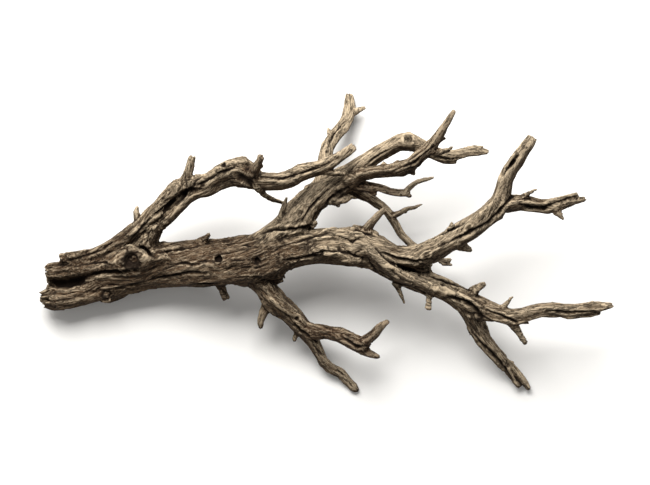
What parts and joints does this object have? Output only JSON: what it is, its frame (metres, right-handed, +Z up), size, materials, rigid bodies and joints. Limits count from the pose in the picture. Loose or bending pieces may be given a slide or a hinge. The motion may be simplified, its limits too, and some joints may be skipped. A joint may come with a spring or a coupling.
{
  "type": "driftwood branch",
  "caption": "Weathered driftwood branch lying flat, with a thick split trunk end, furrowed grain, knots, broken stubs and forked limbs that taper to thin twigs.",
  "frame": {"origin": "on the surface it lies on, below the middle of its bounding box", "axes": "+X from the thick split trunk end towards the far tips, +Y across towards the arching limbs, +Z up"},
  "size_m": [0.8694, 0.4586, 0.2115],
  "materials": {
    "weathered_wood": "bare, sun and sea weathered, matt, with dark crevices"
  },
  "bodies": {
    "root": {"driftwood": "weathered_wood"}
  },
  "joints": []
}
